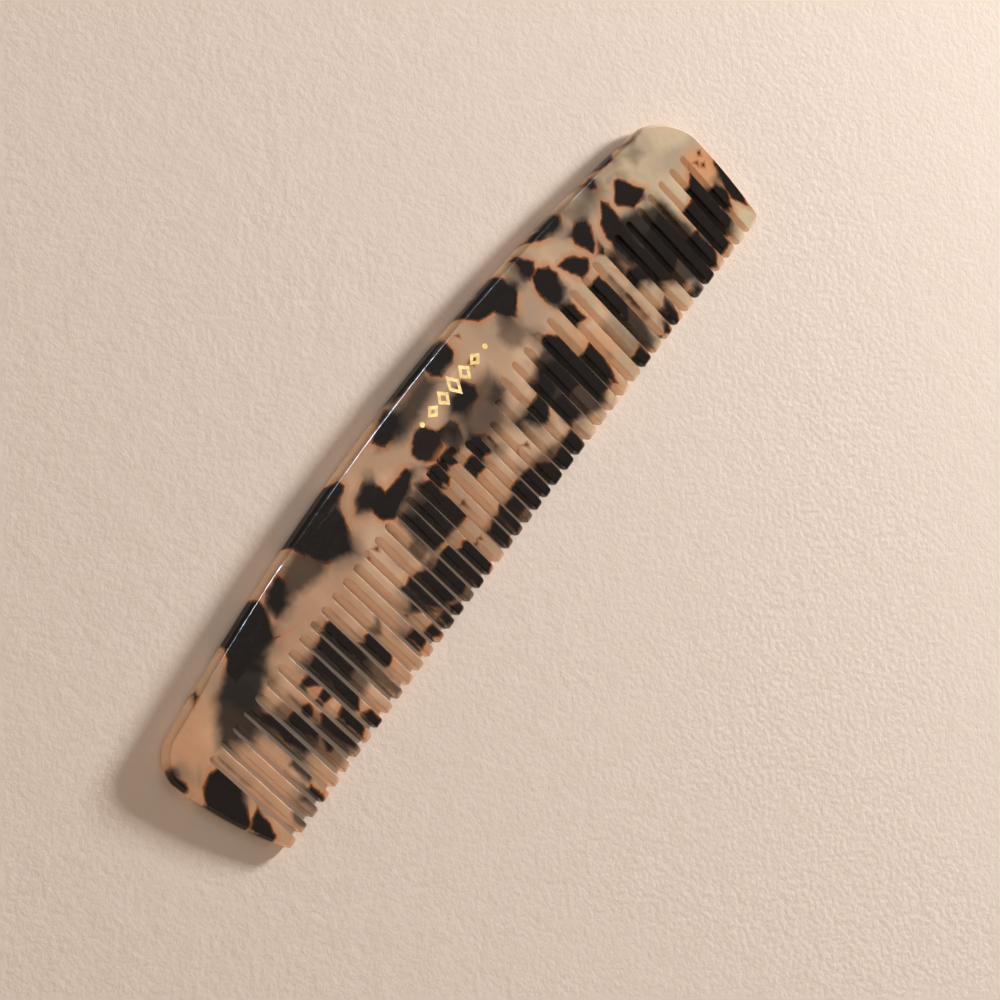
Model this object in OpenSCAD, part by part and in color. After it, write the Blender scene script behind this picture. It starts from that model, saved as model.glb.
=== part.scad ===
// Hair comb sawn from one wedge-shaped plate of acetate sheet.
// The plate is drawn flat and even about its middle plane, and is then laid on its lower face.
// X runs along the row of teeth, +Y points to the back and -Y to the tips.

/* [Plate] */
// Overall length along the row of teeth
comb_length = 140.8; // [118:0.1:170]
// Overall width from the crown of the back to the longest tips
comb_width = 30.2; // [28:0.1:37]
// Thickness that the plate would have at the crown of the back
back_thickness = 3.2; // [2.6:0.1:4]
// Thickness at the tips
tip_thickness = 1.8; // [1:0.1:2]
// How much the rounded edge's radius exceeds half of the back's thickness
edge_ease = 0.1; // [0.05:0.05:0.6]
// Radius of the arched back
back_radius = 432; // [350:1:700]
// Distance of the crown from the middle of the length, towards the coarse end
crown_shift = 5.6; // [-10:0.1:10]

/* [Fine end] */
// Radius of the corner between the back and the fine end
fine_corner = 6; // [4:0.1:7]
// Angle at which the fine end starts to lean in below its corner
fine_lean = 3.5; // [0:0.5:6]
// Width of the outer tooth at the fine end, at its root
fine_guard_w = 5.6; // [5.2:0.1:8]
// Width of the outer tooth at the fine end, where its tip starts to round
fine_guard_tip_w = 1.9; // [1.6:0.1:2.8]
// Radius of the outer tooth's tip at the fine end
fine_tip_corner = 1.2; // [0.6:0.1:1.4]

/* [Coarse end] */
// Radius of the corner between the back and the coarse end
coarse_corner = 11; // [5:0.1:12]
// Angle at which the coarse end starts to lean in below its corner
coarse_lean = 0; // [0:0.5:3]
// Width of the outer tooth at the coarse end, at its root
coarse_guard_w = 4.7; // [4.4:0.1:8]
// Width of the outer tooth at the coarse end, where its tip starts to round
coarse_guard_tip_w = 3.9; // [2:0.1:4]
// Radius of the outer tooth's tip at the coarse end
coarse_tip_corner = 3.2; // [1:0.1:3.4]

/* [Teeth] */
// Number of saw cuts in the fine zone
fine_slots = 25; // [5:1:30]
// Number of saw cuts in the coarse zone
coarse_slots = 19; // [4:1:22]
// Width of every saw cut
slot_width = 1.15; // [0.8:0.05:1.4]
// Coarse pitch divided by fine pitch
pitch_ratio = 1.226; // [1:0.002:1.6]
// Width of the tooth between the two zones
middle_tooth_w = 1.5; // [1.2:0.1:3]
// Depth of the saw cuts, from the root to the tips, at the middle of the comb
tooth_length = 18.2; // [14:0.1:20]
// Radius of the corners of each tooth's tip
tooth_corner = 0.5; // [0.2:0.05:0.5]
// Rise of the row of roots between the ends and the middle
root_arch = 0.95; // [0:0.05:1.5]
// Hollow of the row of tips between the ends and the middle
tip_hollow = 0.6; // [0:0.05:1]
// Extra length left at the roots where the two zones meet
zone_dip = 3.4; // [0:0.1:4]
// Distance over which that extra length fades out
zone_fade = 9; // [4:0.5:14]

/* [Foil band] */
// Length of the row of lozenges pressed into the back
band_length = 18.2; // [14:0.1:20]
// Height of the middle lozenge
band_height = 4; // [3:0.1:4.2]
// Distance of the band from the middle of the comb, along its length
band_shift = 4.4; // [-8:0.1:8]
// Distance from the crown of the back to the middle of the band
band_drop = 6.3; // [5:0.1:6.6]
// Width of the foil line
foil_line = 0.55; // [0.4:0.05:0.6]
// Depth of the foil in the plate
foil_depth = 0.08; // [0.05:0.01:0.15]

/* [Hidden] */
$fn = 96;
slack = 1;               // how far cutting shapes run past what they cut
crossing = 0.98;         // share of a corner's radius at which its centre sits, so edges cross
widest_side = 0.9;       // most of a side's radius that the side is drawn over
long_arc_sides = 256;    // sides that a circle as large as the back's or an end's is drawn with
half_length = comb_length / 2;
half_width = comb_width / 2;
edge_radius = back_thickness / 2 + edge_ease;
taper = (back_thickness - tip_thickness) / (2 * comb_width);
wedge_angle = atan(taper);

// Rows of saw cuts
slot_count = fine_slots + coarse_slots;
tooth_count = slot_count - 1;
first_slot = -half_length + fine_guard_w + slot_width / 2;
last_slot = half_length - coarse_guard_w - slot_width / 2;
middle_pitch = middle_tooth_w + slot_width;
fine_pitch = (last_slot - first_slot - middle_pitch)
    / (fine_slots - 1 + pitch_ratio * (coarse_slots - 1));
coarse_pitch = pitch_ratio * fine_pitch;
last_fine_slot = first_slot + (fine_slots - 1) * fine_pitch;
zone_x = last_fine_slot + middle_pitch / 2;
row_middle = (first_slot + last_slot) / 2;
row_half = (last_slot - first_slot) / 2;

function slot_x(i) = i < fine_slots
    ? first_slot + i * fine_pitch
    : last_fine_slot + middle_pitch + (i - fine_slots) * coarse_pitch;
// Share of the way out from the middle of the row, squared
function outward(x) = pow((x - row_middle) / row_half, 2);
function tip_y(x) = -half_width + tip_hollow * max(0, 1 - outward(x));
function dip(x) = abs(x - zone_x) < zone_fade
    ? zone_dip * (1 + cos(180 * (x - zone_x) / zone_fade)) / 2 : 0;
function root_y(x) = -half_width + tip_hollow + tooth_length - root_arch * outward(x) - dip(x);
// Middle of the round root of saw cut i
function slot_end(i) = root_y(slot_x(i)) - slot_width / 2;
// Line at which tooth k leaves the back
function tooth_top(k) = min(slot_end(k), slot_end(k + 1));
function half_thickness(y) = tip_thickness / 2 + (y + half_width) * taper;
// Radius of the half-round tip that just fills the thickness of the plate
function tip_radius(y) = half_thickness(y) / (1 - taper);

// Outline of the plate: the back's arc and a curved side at each end, with rounded corners
arc_x = crown_shift;
arc_y = half_width - back_radius;
function corner_y(x, r) = arc_y + sqrt(pow(back_radius - r, 2) - pow(x - arc_x, 2));
fine_inset = crossing * fine_corner;
coarse_inset = crossing * coarse_corner;
fine_corner_x = -half_length + fine_inset;
fine_corner_y = corner_y(fine_corner_x, fine_inset);
coarse_corner_x = half_length - coarse_inset;
coarse_corner_y = corner_y(coarse_corner_x, coarse_inset);
// Radius of a side that starts at an angle and moves in by some width over some height
function side_radius(inward, height, lean) =
    sqrt(pow(inward, 2) + pow(height, 2)) / (2 * sin(atan(inward / height) - lean));
fine_tip_y = tip_y(first_slot) + fine_tip_corner;
fine_side = side_radius(fine_guard_w - fine_guard_tip_w, fine_corner_y - fine_tip_y, fine_lean);
fine_side_x = -half_length + fine_side * cos(fine_lean);
fine_side_y = fine_corner_y + fine_side * sin(fine_lean);
coarse_tip_y = tip_y(last_slot) + coarse_tip_corner;
coarse_side = side_radius(coarse_guard_w - coarse_guard_tip_w, coarse_corner_y - coarse_tip_y,
    coarse_lean);
coarse_side_x = half_length - coarse_side * cos(coarse_lean);
coarse_side_y = coarse_corner_y + coarse_side * sin(coarse_lean);
// Half of the angle that a curved side is drawn over
function side_angle(r) = asin(min(widest_side, comb_width / r));

// Foil band
band_y = half_width - band_drop;
lozenge_count = 5;
band_sizes = [0.55, 0.75, 1, 0.75, 0.55];
dot_size = 0.9;
band_pitch = (band_length - dot_size) / (lozenge_count + 1);

function two_digits(n) = str(n < 10 ? "0" : "", n);
function tooth_name(k) = k < fine_slots - 1
    ? str("fine_tooth_", two_digits(k + 1))
    : k == fine_slots - 1 ? "middle_tooth" : str("coarse_tooth_", two_digits(k - fine_slots + 1));

// Lays the even plate on its lower face
module laid() {
    rise = half_width * sin(wedge_angle) + tip_thickness / 2 * cos(wedge_angle);
    translate([0, 0, rise]) rotate([wedge_angle, 0, 0]) children();
}

// Section of the plate's rounded edge, its outer side on the Y axis
module edge_section(depth) {
    translate([-edge_radius, 0]) circle(edge_radius);
    translate([-depth, -edge_radius]) square([depth - edge_radius, 2 * edge_radius]);
}

// Part of the plate with a rounded edge along an arc
module edge_arc(x, y, r, depth, from, to) {
    translate([x, y, 0]) rotate([0, 0, from]) rotate_extrude(angle = to - from)
        translate([r, 0]) edge_section(depth);
}

module back_edge() {
    half_angle = asin((half_length + abs(arc_x) + slack) / (back_radius - comb_width));
    edge_arc(arc_x, arc_y, back_radius, comb_width, 90 - half_angle, 90 + half_angle,
        $fn = long_arc_sides);
}

module fine_edge() {
    a = side_angle(fine_side);
    edge_arc(fine_side_x, fine_side_y, fine_side, fine_guard_w + fine_corner, 180 - a, 180 + a,
        $fn = long_arc_sides);
}

module coarse_edge() {
    a = side_angle(coarse_side);
    edge_arc(coarse_side_x, coarse_side_y, coarse_side, coarse_guard_w + coarse_corner, -a, a,
        $fn = long_arc_sides);
}

// A block over the length of the comb, left open at one end for a rounded edge
module block_between(x0, x1) {
    translate([x0, -comb_width, -back_thickness])
        cube([x1 - x0, 2 * comb_width, 2 * back_thickness]);
}

// Extrudes a side view, drawn with Y along the teeth, across the comb from x0 to x1
module across(x0, x1) {
    translate([x0, 0, 0]) rotate([90, 0, 90]) linear_extrude(height = x1 - x0) children();
}

// Side view of the tapering plate between two heights
module taper_section(y0, y1) {
    polygon([
        [y0, -half_thickness(y0)], [y1, -half_thickness(y1)],
        [y1, half_thickness(y1)], [y0, half_thickness(y0)]
    ]);
}

// Side view of a tooth: the taper, ending in a half-round tip
module tooth_section(tip, top) {
    r = tip_radius(tip);
    translate([tip + r, 0]) circle(r);
    taper_section(tip + r, top);
}

module plan_prism() {
    translate([0, 0, -back_thickness]) linear_extrude(height = 2 * back_thickness) children();
}

// Outline of the back: its lower side steps from tooth to tooth inside the saw cuts
module back_plan() {
    left = -half_length - slack;
    right = half_length + slack;
    top = half_width + slack;
    steps = [for (k = [0 : tooth_count - 1], side = [0, 1]) [slot_x(k + side), tooth_top(k)]];
    difference() {
        polygon(concat(
            [[left, top], [left, slot_end(0)], [slot_x(0), slot_end(0)]],
            steps,
            [[slot_x(slot_count - 1), slot_end(slot_count - 1)],
             [right, slot_end(slot_count - 1)], [right, top]]
        ));
        for (i = [0 : slot_count - 1]) translate([slot_x(i), slot_end(i)]) {
            circle(d = slot_width);
            translate([-slot_width / 2, -comb_width]) square([slot_width, comb_width]);
        }
    }
}

// The whole plate before its corners are rounded and its teeth are sawn
module plate() {
    intersection() {
        back_edge();
        difference() {
            across(-half_length - slack, half_length + slack)
                taper_section(-half_width, half_width + slack);
            foil_inlay(slack);
        }
        union() {
            fine_edge();
            block_between(-half_length + fine_corner, half_length + slack);
        }
        union() {
            coarse_edge();
            block_between(-half_length - slack, half_length - coarse_corner);
        }
    }
}

// Leaves the plate whole except for one corner of the back, which gets a round edge
module corner_at(x, y, r, side) {
    edge_arc(x, y, r, r, 0, 360);
    if (side < 0) block_between(x, half_length + slack);
    else block_between(-half_length - slack, x);
    translate([-half_length - slack, y - 2 * comb_width, -back_thickness])
        cube([comb_length + 2 * slack, 2 * comb_width, 2 * back_thickness]);
}

module back() {
    color("#a9815f") laid() intersection() {
        plate();
        corner_at(fine_corner_x, fine_corner_y, fine_corner, -1);
        corner_at(coarse_corner_x, coarse_corner_y, coarse_corner, 1);
        plan_prism() back_plan();
    }
}

// What is cut away round a corner at (x, y), on the side that across and up point to
module outside_corner(x, y, r, across, up) {
    difference() {
        translate([across > 0 ? x : x - 2 * r, up > 0 ? y : y - 2 * r]) square(2 * r);
        translate([x, y]) circle(r);
    }
}

// Outline of an outer tooth whose slot side is at wall and whose outer side is at edge
module guard_plan(wall, edge, tip, top, tip_corner) {
    out = sign(edge - wall);
    corner = min(tip_corner, abs(edge - wall) - 2 * tooth_corner);
    far = out * (half_length + slack);
    difference() {
        translate([min(wall, far), tip - slack]) square([abs(far - wall), top - tip + slack]);
        outside_corner(edge - out * crossing * corner, tip + crossing * corner, corner, out, -1);
        outside_corner(wall + out * tooth_corner, tip + crossing * tooth_corner, tooth_corner,
            -out, -1);
    }
}

module fine_guard() {
    tip = tip_y(first_slot);
    top = slot_end(0);
    wall = first_slot - slot_width / 2;
    edge = wall - fine_guard_tip_w;
    color("#3a2a22") laid() intersection() {
        plan_prism() guard_plan(wall, edge, tip, top, fine_tip_corner);
        fine_edge();
        across(-half_length - slack, wall + slack) tooth_section(tip, top + slack);
    }
}

module coarse_guard() {
    tip = tip_y(last_slot);
    top = slot_end(slot_count - 1);
    wall = last_slot + slot_width / 2;
    edge = wall + coarse_guard_tip_w;
    color("#c9a37c") laid() intersection() {
        plan_prism() guard_plan(wall, edge, tip, top, coarse_tip_corner);
        coarse_edge();
        across(wall - slack, half_length + slack) tooth_section(tip, top + slack);
    }
}

// Outline of a tooth between two saw cuts, its tip's corners rounded
module tooth_plan(left, right, tip, top) {
    corner_y = tip + crossing * tooth_corner;
    for (x = [left + tooth_corner, right - tooth_corner])
        translate([x, corner_y]) circle(tooth_corner);
    translate([left, corner_y]) square([right - left, top - corner_y]);
    translate([left + tooth_corner, tip - slack])
        square([right - left - 2 * tooth_corner, corner_y - tip + slack]);
}

module tooth(k) {
    left = slot_x(k) + slot_width / 2;
    right = slot_x(k + 1) - slot_width / 2;
    tip = tip_y((left + right) / 2);
    top = tooth_top(k);
    color(k % 3 == 1 ? "#3a2a22" : "#c9a37c") laid() intersection() {
        plan_prism() tooth_plan(left, right, tip, top);
        across(left - slack, right + slack) tooth_section(tip, top + slack);
    }
}

module lozenge(width, height) {
    polygon([[-width / 2, 0], [0, -height / 2], [width / 2, 0], [0, height / 2]]);
}

// One lozenge drawn as a line of even width
module open_lozenge(width, height) {
    inner = 1 - foil_line * sqrt(1 / pow(width / 2, 2) + 1 / pow(height / 2, 2));
    difference() {
        lozenge(width, height);
        lozenge(width * inner, height * inner);
    }
}

module band_plan() {
    lozenge_w = band_pitch - foil_line / 2;
    for (i = [0 : lozenge_count - 1])
        translate([(i - (lozenge_count - 1) / 2) * band_pitch, 0])
            open_lozenge(lozenge_w, band_height * band_sizes[i]);
    for (end = [-1, 1])
        translate([end * (band_length - dot_size) / 2, 0]) circle(d = dot_size);
}

// The foil fills a shallow pressing in the upper face, which is cut with room above it
module foil_inlay(above = 0) {
    face = half_thickness(band_y);
    translate([band_shift, band_y, face]) rotate([wedge_angle, 0, 0])
        translate([0, 0, -foil_depth]) linear_extrude(height = foil_depth + above) band_plan();
}

module foil_band() {
    color("#e3c071") laid() foil_inlay();
}

back();
fine_guard();
coarse_guard();
foil_band();
for (k = [0 : tooth_count - 1]) tooth(k);
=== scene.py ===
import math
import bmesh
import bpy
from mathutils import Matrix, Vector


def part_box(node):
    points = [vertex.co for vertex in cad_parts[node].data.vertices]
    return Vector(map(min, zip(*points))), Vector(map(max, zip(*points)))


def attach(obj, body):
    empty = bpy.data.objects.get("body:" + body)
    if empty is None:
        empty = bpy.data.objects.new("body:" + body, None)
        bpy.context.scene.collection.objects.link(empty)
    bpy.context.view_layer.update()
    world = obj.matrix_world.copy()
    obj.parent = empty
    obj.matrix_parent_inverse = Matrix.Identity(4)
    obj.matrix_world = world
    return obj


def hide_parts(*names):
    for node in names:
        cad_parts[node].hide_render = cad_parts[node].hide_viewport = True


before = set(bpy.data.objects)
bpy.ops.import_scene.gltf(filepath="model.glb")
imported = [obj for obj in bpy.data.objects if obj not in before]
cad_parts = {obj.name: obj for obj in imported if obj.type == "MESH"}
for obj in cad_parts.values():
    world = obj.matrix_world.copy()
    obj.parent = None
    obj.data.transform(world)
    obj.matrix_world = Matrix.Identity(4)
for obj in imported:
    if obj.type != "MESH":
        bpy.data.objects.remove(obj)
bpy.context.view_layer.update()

# Acetate hair comb with a mottled shell pattern, polished, with a row of foil lozenges.
# The pattern is laid out in millimetres: first along the comb, from the layout's middle towards
# the coarse end, and then down, from the row of roots towards the tips of the teeth.

MM = 0.001
LAYOUT_MIDDLE = -2.735      # where along the comb the layout starts, in mm
LAYOUT_ROOTS = 3.66         # where across the comb the layout starts, in mm
FACE_AT_ROOTS = 2.67        # height of the upper face there, in mm
FACE_SLOPE = 0.0464         # rise of the upper face towards the back, per mm


# ---------------------------------------------------------------- camera, floor and lights

CAMERA_AT = (-134.115, 67.913, 271.834)     # in mm
CAMERA_TURN = (10.312, -27.503, -51.883)    # in degrees
LENS, SENSOR = 72, 36
NEAREST_VIEW = 0.01         # in m, like the sizes below
FLOOR_SIZE = 3
FLOOR_DROP = 0.00003        # keeps the floor clear of the comb's lower face
ROOM_COLOUR = (1.0, 0.79, 0.63, 1)
ROOM_STRENGTH = 0.24


def set_camera():
    data = bpy.data.cameras.new("camera")
    data.lens = LENS
    data.sensor_width = SENSOR
    data.clip_start = NEAREST_VIEW
    camera = bpy.data.objects.new("camera", data)
    camera.location = Vector(CAMERA_AT) * MM
    camera.rotation_euler = [math.radians(a) for a in CAMERA_TURN]
    bpy.context.scene.collection.objects.link(camera)
    bpy.context.scene.camera = camera


def soft_light(name, azimuth, elevation, distance, size, watts, colour, lights=True, shines=True):
    """A soft panel that looks at the comb from a direction given in degrees.

    It lights surfaces, shines back from polished ones, or does both.
    """
    data = bpy.data.lights.new(name, "AREA")
    data.size = size
    data.energy = watts
    data.color = colour
    lamp = bpy.data.objects.new(name, data)
    a, e = math.radians(azimuth), math.radians(elevation)
    out = Vector((math.cos(e) * math.cos(a), math.cos(e) * math.sin(a), math.sin(e)))
    lamp.location = out * distance
    lamp.rotation_euler = out.to_track_quat("Z", "Y").to_euler()
    lamp.visible_diffuse = lights
    lamp.visible_glossy = shines
    bpy.context.scene.collection.objects.link(lamp)


def set_lights():
    """A low sun that throws the shadow, a window that only shines back, and a warm fill."""
    soft_light("low_sun", azimuth=-21, elevation=17, distance=0.85, size=0.15, watts=13.2,
               colour=(1.0, 1.05, 1.11), shines=False)
    soft_light("window", azimuth=38, elevation=60, distance=0.9, size=0.36, watts=40.0,
               colour=(0.70, 0.86, 1.0), lights=False)
    soft_light("overhead", azimuth=150, elevation=66, distance=1.2, size=0.9, watts=2.4,
               colour=(1.0, 0.80, 0.64))
    world = bpy.data.worlds.new("room")
    world.use_nodes = True
    background = world.node_tree.nodes["Background"]
    background.inputs["Color"].default_value = ROOM_COLOUR
    background.inputs["Strength"].default_value = ROOM_STRENGTH
    bpy.context.scene.world = world
    bpy.context.scene.view_settings.view_transform = "Standard"


# ---------------------------------------------------------------- how finishes are written

def paint(red, green, blue):
    """A colour from its 0 to 255 values, as the shaders take it."""
    return tuple(((v / 255 + 0.055) / 1.055) ** 2.4 if v > 10 else v / 255 / 12.92
                 for v in (red, green, blue)) + (1.0,)


class Value:
    """A socket that sums are written on."""

    def __init__(self, finish, socket):
        self.finish, self.socket = finish, socket

    def sum(self, operation, first, second):
        return self.finish.node("ShaderNodeMath", {"operation": operation}, {0: first, 1: second})

    def __add__(self, other):
        return self.sum("ADD", self, other)

    def __radd__(self, other):
        return self.sum("ADD", other, self)

    def __sub__(self, other):
        return self.sum("SUBTRACT", self, other)

    def __rsub__(self, other):
        return self.sum("SUBTRACT", other, self)

    def __mul__(self, other):
        return self.sum("MULTIPLY", self, other)

    def __abs__(self):
        return self.sum("ABSOLUTE", self, 0)

    def over(self, other):
        """The larger of two values."""
        return self.sum("MAXIMUM", self, other)

    def under(self, other):
        """The smaller of two values."""
        return self.sum("MINIMUM", self, other)


class Finish:
    """A material and the nodes it is made of."""

    def __init__(self, name):
        self.material = bpy.data.materials.new(name)
        self.material.use_nodes = True
        self.tree = self.material.node_tree
        self.tree.nodes.clear()

    def node(self, kind, settings=None, sockets=None, output=0):
        """Adds a node, fills its sockets with values or links, and gives one of its outputs."""
        made = self.tree.nodes.new(kind)
        for key, value in (settings or {}).items():
            if key == "stops":
                ramp = made.color_ramp
                while len(ramp.elements) < len(value):
                    ramp.elements.new(1.0)
                for element, (place, colour) in zip(ramp.elements, value):
                    element.position, element.color = place, colour
            else:
                setattr(made, key, value)
        for key, value in (sockets or {}).items():
            if isinstance(value, Value):
                self.tree.links.new(value.socket, made.inputs[key])
            else:
                made.inputs[key].default_value = value
        return Value(self, made.outputs[output])

    def mix(self, share, first, second):
        """Mixes two colours."""
        return self.node("ShaderNodeMix", {"data_type": "RGBA"},
                         {0: share, 6: first, 7: second}, 2)

    def ease(self, value, start, end):
        """Goes smoothly from 0 where the value is start to 1 where it is end."""
        return self.node("ShaderNodeMapRange", {"interpolation_type": "SMOOTHSTEP"},
                         {0: value, 1: start, 2: end, 3: 0.0, 4: 1.0})

    def noise(self, place, scale, detail=2.0, roughness=0.5, output=0):
        """A cloudy value round 0.5; output 1 gives three of them as a vector."""
        return self.node("ShaderNodeTexNoise", {}, {"Vector": place, "Scale": scale,
                         "Detail": detail, "Roughness": roughness}, output)

    def vector(self, operation, first, second, output=0):
        """A sum on vectors; output 1 gives a single value."""
        return self.node("ShaderNodeVectorMath", {"operation": operation},
                         {0: first, 1: second}, output)

    def distance(self, place, centre):
        """How far a place of the layout is from a centre, in mm."""
        return self.vector("DISTANCE", place, (*centre, 1.0), 1)

    def object_mm(self):
        """The place on the object, in millimetres."""
        spot = self.node("ShaderNodeTexCoord", {}, {}, 3)
        return self.vector("MULTIPLY", spot, (1000, 1000, 1000))

    def parts(self, vector):
        """The three parts of a vector."""
        split = self.tree.nodes.new("ShaderNodeSeparateXYZ")
        self.tree.links.new(vector.socket, split.inputs[0])
        return [Value(self, socket) for socket in split.outputs]

    def join(self, x, y, z):
        return self.node("ShaderNodeCombineXYZ", {}, {0: x, 1: y, 2: z})

    def bump(self, height, strength, distance):
        return self.node("ShaderNodeBump", {}, {"Strength": strength, "Distance": distance,
                         "Height": height})

    def surface(self, sockets):
        """Ends the material with a shader, and gives the material."""
        shader = self.node("ShaderNodeBsdfPrincipled", {}, sockets)
        end = self.tree.nodes.new("ShaderNodeOutputMaterial")
        self.tree.links.new(shader.socket, end.inputs["Surface"])
        return self.material


# ---------------------------------------------------------------- the shell pattern

# Dark flakes cast into the sheet: each is broken off straight between its corners
DARK_IN_BACK = [
    [(-68.2, 1), (-68.2, -1.2), (-66.8, -2.8), (-66.4, -2.2), (-66.8, .4), (-67.3, 1.3)],
    [(-50.8, -4.6), (-48.3, -6.9), (-42.3, -2.4), (-46.5, -2.8), (-50.8, -3)],
    [(-48.3, -6.9), (-47.6, -8.6), (-40.2, -9.6), (-40.3, -6.5), (-42.3, -2.4), (-45.6, -3.2)],
    [(-48.6, -2.9), (-47, -2.8), (-47.3, -.8)],
    [(-39.8, -4.2), (-39.6, -6.5), (-37.9, -7.6), (-35.3, -7.7), (-35.4, -6.6), (-37.2, -4.2)],
    [(-30.8, -10.3), (-20, -11.2), (-18.2, -9.8), (-18.1, -8.7), (-20.5, -7.7), (-30, -7)],
    [(-30, -8), (-20.5, -8), (-22.2, -4.5), (-24.2, -1.2), (-25.2, -1.8), (-28.6, -3.6)],
    [(-19.2, -4.6), (-17.9, -6), (-15.3, -6.6), (-14.2, -5.6), (-13.9, -3.2), (-15.5, -1),
     (-17.2, -3.2)],
    [(-17.4, -3.2), (-12.8, -2.5), (-8.8, -2.7), (-8.3, -1.8), (-11, -.2), (-15.6, .4), (-17, -.6)],
    [(-9.2, -9.4), (-8, -9.9), (-4, -10.4), (-3.2, -9), (-4.5, -7.8), (-8.4, -7.6), (-9, -8.4)],
    [(-2.6, -12.3), (10.2, -12.3), (11.2, -10.6), (4, -10.4), (-1.5, -10.7)],
    [(5.6, -10.6), (11.1, -10.6), (11.1, -8.8), (9.6, -7.7), (6.8, -7.8), (5.8, -8.8)],
    [(3.6, -2.6), (5.2, -4.2), (8.6, -4.4), (9.6, -2.6), (8.8, -1.2), (5, -1)],
    [(16.2, -11.6), (25.6, -11.4), (26.4, -9.4), (25.6, -6.2), (21.3, -7.5), (18.4, -8.5),
     (16.8, -10.2)],
    [(26.4, -9.4), (27.6, -7.3), (25.6, -6.2), (23.6, -4.3), (22, -5.3), (21.3, -7.5)],
    [(29.4, -7.2), (30.2, -10.3), (31, -10.2), (32.3, -7.6), (31.8, -6.6), (30, -6.2)],
    [(29.8, -4.4), (30.8, -6), (32.4, -6.2), (34, -5), (34.4, -3.4), (33.6, -1), (32, .2),
     (30.4, .4), (29.6, -1.5)],
    [(34.6, -10.6), (36, -9.9), (41.6, -9.9), (42.2, -8.8), (40.8, -7.8), (38.6, -8), (36.4, -9)],
    [(35.8, -3.6), (37.4, -3.7), (39, -2.6), (40.4, -.6), (39, .4), (37.6, .2), (36.6, -1.6)],
    [(41, -5.4), (43.6, -6.2), (45.4, -5.2), (45, -3.8), (43.4, -1.4), (42.2, -1), (41.4, -3)],
    [(46.2, -.2), (47, -2.4), (50, -4.8), (50.5, -3.6), (49.4, -.6), (49.6, 5.6), (46.5, 5.6)],
    [(52, -3), (54.6, -5.2), (55.4, -5.1), (57.6, -.6), (56.6, .1), (54, -.2), (52.2, -2.4)],
    [(50, -8.9), (51.6, -8.7), (51, -7.2), (50.2, -7.6)],
    [(53.5, -9.3), (59, -9), (57.4, -8.2), (55.4, -8.2)],
]
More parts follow.
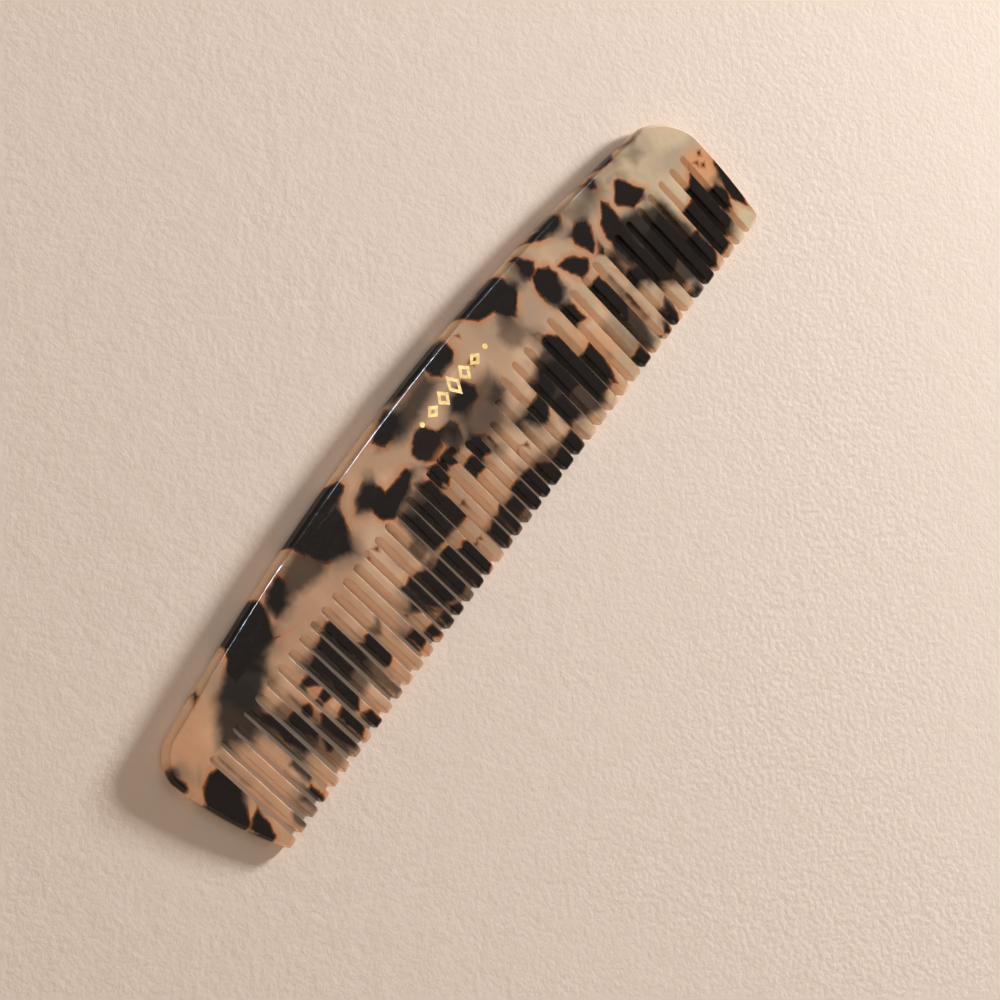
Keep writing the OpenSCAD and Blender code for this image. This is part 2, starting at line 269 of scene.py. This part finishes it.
DARK_IN_TEETH = [
    [(-66.9, 4.5), (-65.3, 2.9), (-63.5, 2.5), (-61.9, 2.9), (-61.9, 7.5), (-63.2, 8),
     (-64.6, 11.2), (-65.6, 11.6), (-67.2, 7)],
    [(-65.2, 12), (-62.6, 11.2), (-63.8, 15.5), (-64.5, 15.8), (-65.3, 13.6)],
    [(-57, 15.5), (-55, 15.3), (-54.7, 17.5), (-55.3, 18.5), (-56.6, 17.8)],
    [(-52.7, 3.5), (-51.9, 3), (-50.9, 4.5), (-50.9, 11.8), (-52.2, 11.6)],
    [(-50, 6.5), (-48.2, 6.4), (-48.2, 11.5), (-49.6, 12.1)],
    [(-49.2, 14), (-48.6, 12.8), (-48.1, 13), (-48.1, 14.7), (-49, 14.6)],
    [(-47.4, 7.3), (-46.2, 7.8), (-46.6, 8.8), (-47.4, 9.2)],
    [(-47, 11.5), (-46.2, 10.3), (-45.5, 10.3), (-45.5, 17), (-46, 17.4), (-47, 15.6)],
    [(-44.3, 4.9), (-42.8, 4.9), (-42.8, 7.3), (-44.3, 5.6)],
    [(-44.2, 8.3), (-42.9, 8.2), (-42.9, 9.6), (-44.2, 9.4)],
    [(-44.3, 12.5), (-42.8, 12), (-42.8, 16.2), (-44.2, 17)],
    [(-41.6, 4.4), (-40, 4), (-40, 13), (-41.5, 14)],
    [(-41.9, 16), (-41.5, 15.2), (-40.4, 16.2), (-40.2, 18.2), (-41.9, 18.2)],
    [(-38.9, 3.5), (-37.3, 3.1), (-37.3, 9.9), (-38.9, 9.9)],
    [(-36.2, 3), (-35.4, 2.3), (-34.5, 2.5), (-34.5, 10.4), (-36, 10.4)],
    [(-34.2, 9.2), (-32.6, 8.1), (-31.8, 8.6), (-31.8, 13), (-33.2, 13.2), (-34.2, 14.5)],
    [(-27.9, 13.2), (-26.3, 13.5), (-26.3, 15.8), (-27.6, 16.3)],
    [(-25.2, 15.2), (-23.7, 15.6), (-23.7, 17.4), (-24.4, 17.4), (-25.2, 16.4)],
    [(-22.5, 8.4), (-20.9, 8.2), (-20.9, 14.6), (-22.5, 13)],
    [(-24.6, 11.4), (-22.6, 9.6), (-22.4, 14)],
    [(-22.2, 15.7), (-21, 15.8), (-21, 17.8), (-22.4, 17.4)],
    [(-19.6, 8.5), (-18.1, 9.8), (-18.1, 15.6), (-19.7, 15)],
    [(-20, 16), (-18.4, 17), (-18.6, 17.9), (-20, 17.6)],
    [(-17, 10.4), (-15.4, 10), (-15.4, 15.6), (-16.8, 16)],
    [(-15, 1), (-12.6, 3), (-12.6, 8.8), (-14.2, 8.4), (-15.2, 6.5)],
    [(-14.2, 9.8), (-12.6, 10.2), (-12.6, 17.6), (-14, 17.8)],
    [(-11.5, 2.2), (-9.8, 3), (-9.8, 9), (-11.4, 8.6)],
    [(-12, 12), (-10.6, 11.4), (-9.8, 12.2), (-9.9, 17.2), (-11.4, 17.4)],
    [(-9.2, .2), (-7.2, 1.4), (-7.1, 9.2), (-8.7, 9)],
    [(-6, 0), (-4.4, .6), (-4.6, 3.2), (-5.6, 3.8), (-6, 2)],
    [(-6.2, 14), (-4.4, 13.2), (-4.4, 16.6), (-5.8, 17.4)],
    [(-3.3, .4), (-1.5, .4), (-1.6, 2.8), (-3, 2.4)],
    [(-3, 13.4), (-1.6, 12.6), (-1.6, 16.8), (-2.8, 17.2)],
    [(-1, 4), (1.4, 4.4), (1.3, 6.8), (-.4, 6.8)],
    [(-.3, 13.4), (1.3, 13.6), (1, 16), (-.2, 16)],
    [(1.6, 2.2), (3, 2), (5, 4.6), (5, 6), (2.2, 5.8)],
    [(1.8, 12.4), (4, 12.6), (4.2, 18), (2, 18)],
    [(4.4, 12.6), (7, 12.8), (10, 15.2), (9, 18.4), (5, 18.4)],
    [(9, 15.2), (16.6, 14.8), (16, 18.4), (8, 18.4)],
    [(11.2, 6.8), (13.2, 6.9), (16.6, 6.6), (16.8, 8.6), (14.8, 10.4), (13, 9.8)],
    [(17, 6), (20, 4.4), (20.4, 8), (18, 9)],
    [(17.2, 9), (20, 10), (19.8, 13.6), (18.6, 14.2), (17.2, 13.2)],
    [(20.4, 4), (23.2, 5.6), (23.4, 10.8), (21, 10.6), (20.2, 8)],
    [(23.8, .5), (26.6, 3.5), (26.8, 15), (24, 14.8)],
    [(31.4, .6), (32.4, 1.2), (32.6, 4.8), (30.8, 4.4)],
    [(27.2, 8.6), (30, 8.2), (30, 12), (28.6, 15.4), (27.4, 13.6)],
    [(34.6, 15.6), (36.6, 15.2), (36.6, 18), (34.2, 18)],
    [(38, 2.4), (39.8, 2.6), (40.2, 9.4), (38.2, 10.6), (37.4, 7)],
    [(40.4, 6.6), (41.4, 8), (41.2, 12.6), (40.4, 12.6)],
    [(42, 17.4), (43, 16), (43.4, 16.4), (42.8, 18)],
    [(44, 5.4), (46.8, 7), (46.8, 9.2), (44.6, 8.6)],
    [(44.2, 17.4), (44.8, 14.8), (46.4, 13.8), (46.6, 15.4), (45.4, 18)],
    [(47, 5), (50, 5.6), (50.4, 12.8), (48.6, 11.6), (47.4, 8)],
    [(50.8, 4.4), (53.6, 4.6), (53.8, 11), (51.8, 11.8), (50.6, 9.6)],
    [(51.4, 17.8), (52.2, 16.6), (53.2, 16.8), (53, 18.4)],
    [(53.8, 5), (57.6, 3.6), (58.2, 7.6), (56.8, 9.6), (57.4, 12), (57, 18.4), (54.2, 18.4)],
    [(57.4, 10.6), (60.4, 11.4), (60.2, 16), (58.4, 17.4), (57.2, 16)],
    [(61, 7.4), (64, 7.2), (64.2, 14), (63.4, 17), (61, 17)],
    [(65, 5.6), (67.2, 4), (67.2, 14.8), (65.4, 15.8), (64.6, 13.6)],
    [(68.2, 8.6), (69.6, 8.6), (70.2, 11), (68.6, 13.4), (67.6, 11)],
    [(71, 8.4), (72.8, 6), (72.6, 12), (71.6, 15.2), (70.2, 12.4)],
]
# Brown flakes, which let some light through
BROWN = [
    [(-57, -5.8), (-56, -6.8), (-55.4, -6.7), (-56.3, -6)],
    [(-7.2, -10.4), (-3.8, -10.9), (-3.8, -10.3), (-6.8, -10.1)],
    [(-6.3, -3.3), (-5, -4.6), (-3, -5.3), (-1.6, -4.8), (-.6, -1.6), (-1.5, -.4), (-4, .2),
     (-5.6, -1)],
    [(-1, -2.6), (2.6, -2.2), (3, -.6), (1.8, 1.4), (-.4, 2), (-1.2, .2)],
    [(42.6, 0), (44.4, -1.2), (44.2, .4), (43.6, 1.2)],
    [(71.2, 2.7), (71.6, 3), (71.2, 3.4), (70.9, 3)],
    [(70, 4.5), (70.5, 4.8), (70.1, 5.2), (69.8, 4.8)],
    [(69.2, 3.5), (69.7, 3.7), (69.4, 4.1)],
    [(8.5, 9.8), (9.1, 10.1), (8.9, 10.5)],
    [(-6.1, 7.4), (-5.6, 7.6), (-5.8, 8.2)],
    [(-8.5, 13.1), (-7.9, 13.2), (-8.1, 13.6)],
    [(13.5, -9.8), (13.9, -9.6), (13.7, -9.3)],
    [(-21.7, 1.1), (-21.1, 1.2), (-21.4, 1.6)],
    [(11.7, -5.6), (12.6, -5.6), (12.9, -4.9), (12.1, -4.6)],
]
# Flakes that lie deep in the milky sheet: how dark they show, how blurred, and their corners
DEEP = [
    (.8, .5, [(-60.6, 17), (-60, 15.7), (-58.4, 15.4), (-58.4, 18.6), (-60, 18.6)]),
    (.9, .5, [(-54.8, 11), (-53.2, 10.8), (-52.9, 14.5), (-54.6, 14.8)]),
    (.95, 1.3, [(-59.8, .8), (-54.8, -4), (-50, -5), (-49, -1), (-50.8, 3.4), (-56, 5)]),
    (.95, 1.0, [(-54.5, -3.2), (-50, -5.4), (-45.5, -4.6), (-44.8, -1.8), (-49, .8), (-53.5, 2)]),
    (.6, .8, [(-53, 3), (-47, 4.5), (-45, 17.5), (-50, 17)]),
    (.75, .8, [(-42.5, 3), (-34, 2.5), (-34.5, 11), (-37, 13), (-42.5, 14)]),
    (.8, .9, [(-15.8, 1), (-8, .2), (-7.2, 9.2), (-15.8, 9)]),
    (.75, .9, [(-23, 9), (-16, 8.5), (-9.6, 16), (-11, 18.8), (-22, 18.5)]),
    (.75, .8, [(-6.2, 13), (8, 12.6), (17, 14.6), (16.6, 18.8), (-6.2, 18.8)]),
    (.9, .9, [(16.8, 4.5), (22, 2.5), (27, 4), (27, 14.5), (24, 17), (20, 14), (17, 13)]),
    (.8, .8, [(37.8, 3), (41.5, 4), (41.5, 13), (38, 17)]),
    (.92, 1.0, [(44, 2), (50, -1), (59, 3), (60, 10), (57.5, 18.5), (51, 15), (46, 10)]),
    (.85, 1.2, [(-41, -6), (-34.8, -7.8), (-28, -8.8), (-26, -4), (-30, -2.6), (-34, -3.4)]),
    (.8, .5, [(-36.9, 10), (-34.5, 10.4), (-34.6, 17.8), (-36, 17.8)]),
    (.7, .5, [(-31.2, 8.8), (-29.2, 7.3), (-29, 8.4), (-30.4, 9), (-31.5, 11)]),
    (.9, 1.5, [(-9, -8), (-4, -10), (5, -10.6), (6, -7), (-1, -5.8), (-6, -5.8)]),
    (.75, 1.6, [(3, -1.4), (8, -3), (13.2, -2.4), (13.6, 1.8), (9, 5.2), (4, 4.8), (2.2, 2)]),
    (.7, .8, [(9.6, .4), (12.6, -.4), (12.8, 1.6), (11.2, 2.4), (9.6, 1.8)]),
    (.6, 1.0, [(18.6, -4.5), (21, -6.2), (23.4, -4), (22.4, -1.2), (20.6, -.4), (18.8, -1.8)]),
    (.7, .5, [(-17.6, 4.8), (-15.4, 5.4), (-15.4, 7.8), (-17.4, 8.2)]),
    (.4, 1.2, [(27.6, -9.6), (29.6, -9.9), (29.8, -7), (28, -7)]),
    (.7, .8, [(60, -8.6), (64.5, -7.6), (62.8, -6.8), (61, -7.8)]),
    (.5, 1.2, [(59.4, -7), (62, -7.2), (62.8, -4.6), (60, -4.4)]),
    (.5, 1.5, [(43.8, -8.4), (52, -9), (52, -5.6), (45, -5.6)]),
    (.4, 1.2, [(34.5, 8), (37, 8), (37, 15), (34.5, 15)]),
    (.7, .9, [(37.5, 10), (40, 10), (40, 17), (37.5, 17)]),
    (.7, .9, [(50.5, 0), (54, 0), (54, 4.5), (50.5, 4.5)]),
]
# Where the flakes sink under the milky ground and blur: how far it reaches, and its middle
SUNK = [
    (5, (-46, -1.5)), (3.6, (-38, -5)), (4.5, (-25, -1.5)), (3, (-12, 1)), (4, (-3.5, -8)),
    (4, (2, 0)), (3.2, (20.5, -4.5)), (3, (28.5, -8)), (3.4, (32, -1)), (4, (51.5, 2)),
    (5, (46.5, -8)), (4, (63, -7)),
]

# Where the sheet is a warmer colour: how warm, how far it reaches, and its middle
WARM = [
    (.9, 6.5, (69.5, 6)), (.7, 5, (66, 13)), (.3, 6, (-62, -3)), (.4, 4, (27, 6)),
    (.5, 5, (30.5, 10)), (.25, 4, (-2, 8)),
]


# The milky sheet's colour, from the fine end to the coarse end
MILKY_ENDS = (-72.0, 70.0)
MILKY = [
    (0.0, paint(196, 152, 118)), (0.3, paint(186, 146, 115)), (0.55, paint(188, 152, 122)),
    (0.8, paint(190, 162, 132)), (1.0, paint(206, 186, 154)),
]
PALE_CLOUD = paint(216, 182, 150)
SMOKY_CLOUD = paint(146, 130, 112)
# painted glow: warmer, lighter tints for edges and sawn walls, standing in for light coming through
# the sheet
SAWN_EDGE_GLOW = paint(206, 146, 100)
OUTER_EDGE_GLOW = paint(222, 192, 164)
SAWN_WALL_GLOW = paint(214, 172, 132)
WARM_SHEET = paint(212, 150, 104)
# tint of the painted glow, an emission that stands in for light coming through the sheet
LIT_SHEET = paint(226, 186, 144)
AMBER_RING = paint(188, 122, 76)
BURNT_RING = paint(122, 66, 36)
BROWN_RING = paint(166, 98, 54)
SMOKE_RING = paint(92, 78, 68)
DARK_FLAKE = paint(24, 18, 16)
BROWN_FLAKE = paint(34, 22, 18)
DEEP_FLAKE = paint(38, 32, 29)
UNLIT = (0, 0, 0, 1)

# Rings of colour round the flakes: where each starts and is full, in mm outside the flake
SMOKE_REACH = (3.2, -0.4)
AMBER_REACH = (1.7, 0.2)
BURNT_REACH = (0.45, 0.2)
BROWN_REACH = (0.6, 0.1)
BROWN_CORE = (0.3, -0.25)
FARTHEST_RING = 2.2         # a flake farther from a part than this leaves it alone, in mm
WANDER = 1.1                # how far the flakes' outlines wander, in mm
LEAN_ALONG = 0.35           # how far a flake leans for each mm of depth
LEAN_DOWN = -0.25
AWAY_ALONG, AWAY_ACROSS = 0.93, -0.5        # the way to the low sun, seen from above

POLISH = 0.10               # roughness of the polished sheet, and what fine scratches add
SCRATCHES = 0.12
ACETATE_IOR = 1.49
PAINTED_GLOW = 0.3                  # how strongly the painted glow shines, an emission that stands in for light coming through
RIPPLE, RIPPLE_DEPTH = 0.25, 0.0004


def outline(corners):
    """The corners that lie on a flake's outside, in order round it."""
    points = sorted(corners)

    def half(points):
        side = []
        for p in points:
            while len(side) > 1 and ((side[-1][0] - side[-2][0]) * (p[1] - side[-2][1])
                                     <= (side[-1][1] - side[-2][1]) * (p[0] - side[-2][0])):
                side.pop()
            side.append(p)
        return side[:-1]
    return half(points) + half(points[::-1])


def reaches(corners, area, margin):
    """Whether a flake comes within a margin of an area: left, right, upper, lower."""
    along, down = zip(*corners)
    return (max(along) + margin > area[0] and min(along) - margin < area[1]
            and max(down) + margin > area[2] and min(down) - margin < area[3])


def distance_from(finish, place, corners):
    """How far a place is outside a flake, in mm, or less than 0 inside it."""
    far = None
    ring = outline(corners)
    for a, b in zip(ring, ring[1:] + ring[:1]):
        length = math.dist(a, b)
        across, down = (b[1] - a[1]) / length, (a[0] - b[0]) / length
        side = finish.vector("DOT_PRODUCT", place,
                             (across, down, -(across * a[0] + down * a[1])), 1)
        far = side if far is None else far.over(side)
    return far


def nearest(finish, place, area, flakes):
    """How far a place is outside the nearest flake, or None where no flake reaches the area."""
    near = None
    for corners in flakes:
        if reaches(corners, area, FARTHEST_RING):
            far = distance_from(finish, place, corners)
            near = far if near is None else near.under(far)
    return near


def layout_place(finish, spot, x, y, z):
    """The way down the layout, and the place on it, for flakes that lean and wander."""
    depth = FACE_AT_ROOTS + (y - LAYOUT_ROOTS) * FACE_SLOPE - z
    wander = finish.vector("SUBTRACT", finish.noise(spot, 0.55, 2.5, 0.55, 1), (.5, .5, .5))
    wander_along, wander_down = finish.parts(wander)[:2]
    along = x - LAYOUT_MIDDLE + wander_along * WANDER + depth * LEAN_ALONG
    down = LAYOUT_ROOTS - y + wander_down * WANDER + depth * LEAN_DOWN
    return down, finish.join(along, down, 1.0)


def milky_ground(finish, spot, x):
    """The sheet between its flakes, with soft clouds."""
    share = finish.node("ShaderNodeMapRange", {}, {0: x, 1: MILKY_ENDS[0], 2: MILKY_ENDS[1],
                                                   3: 0.0, 4: 1.0})
    ground = finish.node("ShaderNodeValToRGB", {"stops": MILKY}, {0: share})
    clouds = finish.noise(spot, 0.1, 1.0, 0.5)
    ground = finish.mix(finish.ease(clouds, 0.5, 0.7) * 0.6, ground, PALE_CLOUD)
    return finish.mix(finish.ease(clouds, 0.5, 0.3) * 0.5, ground, SMOKY_CLOUD)


def painted_edge_and_wall_glow(finish, ground, down):
    """Painted glow: a warmer, lighter colour on edges and sawn walls, picked by which way they
    face, and an emitted glow there, both standing in for light coming through the sheet.

    The painted glow shows most on the side away from the low sun.
    """
    nx, ny, nz = finish.parts(finish.node("ShaderNodeNewGeometry", {}, {}, 1))
    level = abs(nz)
    sawn = finish.ease(down, -0.8, 0.2)
    edge = finish.ease(level, 0.995, 0.6)
    wall = finish.ease(level, 0.8, 0.25) * sawn
    # painted glow mask: strongest where the surface faces away from the low sun
    away = finish.ease(nx * AWAY_ALONG + ny * AWAY_ACROSS, 0.05, -0.5)
    # painted glow: edges and sawn walls tinted warmer and lighter by which way they face
    ground = finish.mix(edge * sawn * 0.3, ground, SAWN_EDGE_GLOW)
    ground = finish.mix(edge * (1 - sawn) * 0.4, ground, OUTER_EDGE_GLOW)
    ground = finish.mix(wall * 0.2, ground, SAWN_WALL_GLOW)
    return ground, finish.ease(level, 1.0, 0.7) * away * (0.55 + sawn * 0.45)


def sunk_share(finish, spot, place, area):
    """How far the flakes here lie under the milky sheet, from 0 to 1."""
    sunk = finish.ease(finish.noise(spot, 0.16, 1.0), 0.5, 0.66)
    for reach, centre in SUNK:
        if reaches([centre], area, reach):
            sunk = sunk.over(finish.ease(finish.distance(place, centre), reach, reach * 0.5))
    return sunk


def add_brown_flakes(finish, ground, painted_glow, brown):
    """Brown flakes with a thin lighter ring."""
    ground = finish.mix(finish.ease(brown, *BROWN_REACH) * 0.6, ground, BROWN_RING)
    cover = finish.ease(brown, *BROWN_CORE)
    return finish.mix(cover, ground, BROWN_FLAKE), painted_glow * (1 - cover)


def add_dark_flakes(finish, ground, painted_glow, dark, sunk, place, area):
    """Dark flakes: ringed with smoke where they are sunk, and with amber where they are not."""
    smoke = finish.ease(dark, *SMOKE_REACH) * sunk
    ground = finish.mix(smoke * 0.75, ground, SMOKE_RING)
    ground = finish.mix(finish.ease(dark, *AMBER_REACH) * (1 - sunk) * 0.65, ground, AMBER_RING)
    ground = finish.mix(finish.ease(dark, *BURNT_REACH) * (1 - sunk), ground, BURNT_RING)
    for strength, blur, corners in DEEP:
        if reaches(corners, area, FARTHEST_RING):
            cover = finish.ease(distance_from(finish, place, corners), blur, -blur) * strength
            ground = finish.mix(cover, ground, DEEP_FLAKE)
            painted_glow = painted_glow * (1 - cover)
    cover = finish.ease(dark, 0.3 + sunk * 0.7, -0.15 - sunk * 0.5)
    ground = finish.mix(cover, ground, DARK_FLAKE)
    return ground, painted_glow * (1 - cover) * (1 - smoke * 0.7)


def shell(name, area):
    """Milky mottled acetate, with only the flakes that reach an area of the layout."""
    finish = Finish(name)
    spot = finish.object_mm()
    x, y, z = finish.parts(spot)
    down, place = layout_place(finish, spot, x, y, z)
    ground, painted_glow = painted_edge_and_wall_glow(finish, milky_ground(finish, spot, x), down)
    for strength, reach, centre in WARM:
        if reaches([centre], area, reach):
            warm = finish.ease(finish.distance(place, centre), reach, reach * 0.4)
            ground = finish.mix(warm * strength, ground, WARM_SHEET)
    brown = nearest(finish, place, area, BROWN)
    if brown:
        ground, painted_glow = add_brown_flakes(finish, ground, painted_glow, brown)
    dark = nearest(finish, place, area, DARK_IN_BACK + DARK_IN_TEETH)
    if dark:
        sunk = sunk_share(finish, spot, place, area)
        ground, painted_glow = add_dark_flakes(finish, ground, painted_glow, dark, sunk, place, area)
    return finish.surface({
        "Base Color": ground,
        "Roughness": POLISH + finish.noise(spot, 3.0, 3.0) * SCRATCHES,
        "IOR": ACETATE_IOR,
        # painted glow: emitted light on edges and walls, standing in for light coming through the
        # sheet
        "Emission Color": finish.mix(painted_glow, UNLIT, finish.mix(0.5, ground, LIT_SHEET)),
        "Emission Strength": PAINTED_GLOW,
        "Normal": finish.bump(finish.noise(spot, 0.35, 2.0), RIPPLE, RIPPLE_DEPTH)})


# ---------------------------------------------------------------- the other finishes

def foil():
    """Gold foil pressed into the acetate, with a slightly crinkled face."""
    finish = Finish("gold_foil")
    spot = finish.object_mm()
    crinkle = finish.noise(spot, 5.0, 3.0)
    shine = finish.ease(finish.noise(spot, 1.2, 2.0), 0.35, 0.65)
    return finish.surface({
        "Base Color": finish.mix(shine, paint(204, 160, 80), paint(232, 198, 118)),
        "Metallic": 0.15, "Roughness": 0.45 + crinkle * 0.2,
        "Normal": finish.bump(crinkle, 0.3, 0.00005)})


def paper():
    """The pale textured floor."""
    finish = Finish("floor_paper")
    spot = finish.object_mm()
    fibre = finish.noise(spot, 0.9, 4.0, 0.6)
    dent = finish.noise(spot, 0.25, 2.0)
    return finish.surface({
        "Base Color": finish.mix(finish.ease(dent, 0.3, 0.7) * 0.25, paint(228, 211, 195),
                                 paint(221, 203, 186)),
        "Roughness": 0.9, "Specular IOR Level": 0.2,
        "Normal": finish.bump(fibre + dent, 0.25, 0.0004)})


# ---------------------------------------------------------------- pieces

WELD = 0.001                # points nearer than this are joined, in mm like the sizes below
FLAT = 0.3                  # faces that turn less than this are one face, in degrees
SMOOTH = 32                 # edges that turn less than this are shaded smooth, in degrees
SAWN_ANGLES, SAWN_ROUND, SAWN_STEPS = (45, 180), 0.25, 4
CREST_ANGLES, CREST_ROUND, CREST_STEPS = (14, 28), 0.5, 3
FOIL_MARGIN = 0.2           # no edge is rounded nearer to the foil than this
LEAST_SEAM = 1.0            # smallest face that counts as a seam, in square mm


def edit(piece):
    """Opens a piece for editing by its edges."""
    bpy.ops.object.mode_set(mode="OBJECT")
    bpy.ops.object.select_all(action="DESELECT")
    piece.select_set(True)
    bpy.context.view_layer.objects.active = piece
    bpy.ops.object.mode_set(mode="EDIT")
    bpy.ops.mesh.select_mode(type="EDGE")


def seam_faces(shape):
    """Flat faces where a tooth leaves the back, which meet another piece and stay sharp."""
    return {f.index for f in shape.faces
            if abs(f.normal.y) > 0.99 and f.calc_area() > LEAST_SEAM * MM * MM}


def round_edges(piece, angles, keep_off, width, segments):
    """Rounds the edges whose faces meet at an angle between two limits, in degrees."""
    shape = bmesh.from_edit_mesh(piece.data)
    shape.faces.index_update()
    seams = seam_faces(shape)
    least, most = angles
    low, high = keep_off
    picked = False
    for e in shape.edges:
        middle = (e.verts[0].co + e.verts[1].co) / 2
        inside = all(low[i] < middle[i] < high[i] for i in range(3))
        on_seam = any(f.index in seams for f in e.link_faces)
        turn = math.degrees(e.calc_face_angle(0)) if len(e.link_faces) == 2 else 0
        e.select_set(least < turn <= most and not inside and not on_seam)
        picked = picked or e.select
    shape.select_flush_mode()
    bmesh.update_edit_mesh(piece.data)
    if picked:
        bpy.ops.mesh.bevel(offset=width * MM, segments=segments, profile=0.5, clamp_overlap=True)


def polished(node, finish):
    """A part of the comb with its sawn edges rounded and polished."""
    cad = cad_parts[node]
    piece = bpy.data.objects.new(node + "_polished", cad.data.copy())
    bpy.context.scene.collection.objects.link(piece)
    piece.data.materials.clear()
    piece.data.materials.append(finish)
    edit(piece)
    bpy.ops.mesh.select_all(action="SELECT")
    bpy.ops.mesh.remove_doubles(threshold=WELD * MM)
    bpy.ops.mesh.customdata_custom_splitnormals_clear()
    bpy.ops.mesh.dissolve_limited(angle_limit=math.radians(FLAT))
    low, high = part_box("foil_band")
    margin = Vector((1, 1, 1)) * FOIL_MARGIN * MM
    keep_off = (low - margin, high + margin)
    round_edges(piece, SAWN_ANGLES, keep_off, SAWN_ROUND, SAWN_STEPS)
    round_edges(piece, CREST_ANGLES, keep_off, CREST_ROUND, CREST_STEPS)
    bpy.ops.object.mode_set(mode="OBJECT")
    bpy.ops.object.shade_smooth_by_angle(angle=math.radians(SMOOTH))
    weighted = piece.modifiers.new("even_shading", "WEIGHTED_NORMAL")
    weighted.keep_sharp = True
    bpy.ops.object.modifier_apply(modifier=weighted.name)
    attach(piece, "root")
    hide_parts(node)


def layout_area(node):
    """The area of the layout that a node covers: left, right, upper, lower."""
    low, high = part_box(node)
    return (low.x / MM - LAYOUT_MIDDLE, high.x / MM - LAYOUT_MIDDLE,
            LAYOUT_ROOTS - high.y / MM, LAYOUT_ROOTS - low.y / MM)


set_camera()
set_lights()

bpy.ops.object.select_all(action="DESELECT")
bpy.ops.mesh.primitive_plane_add(size=FLOOR_SIZE, location=(0, 0, -FLOOR_DROP))
floor = bpy.context.object
floor.name = "floor"
floor.data.materials.append(paper())

for node in sorted(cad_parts):
    if node != "foil_band":
        polished(node, shell("shell_" + node, layout_area(node)))

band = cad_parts["foil_band"]
band.data.materials.clear()
band.data.materials.append(foil())
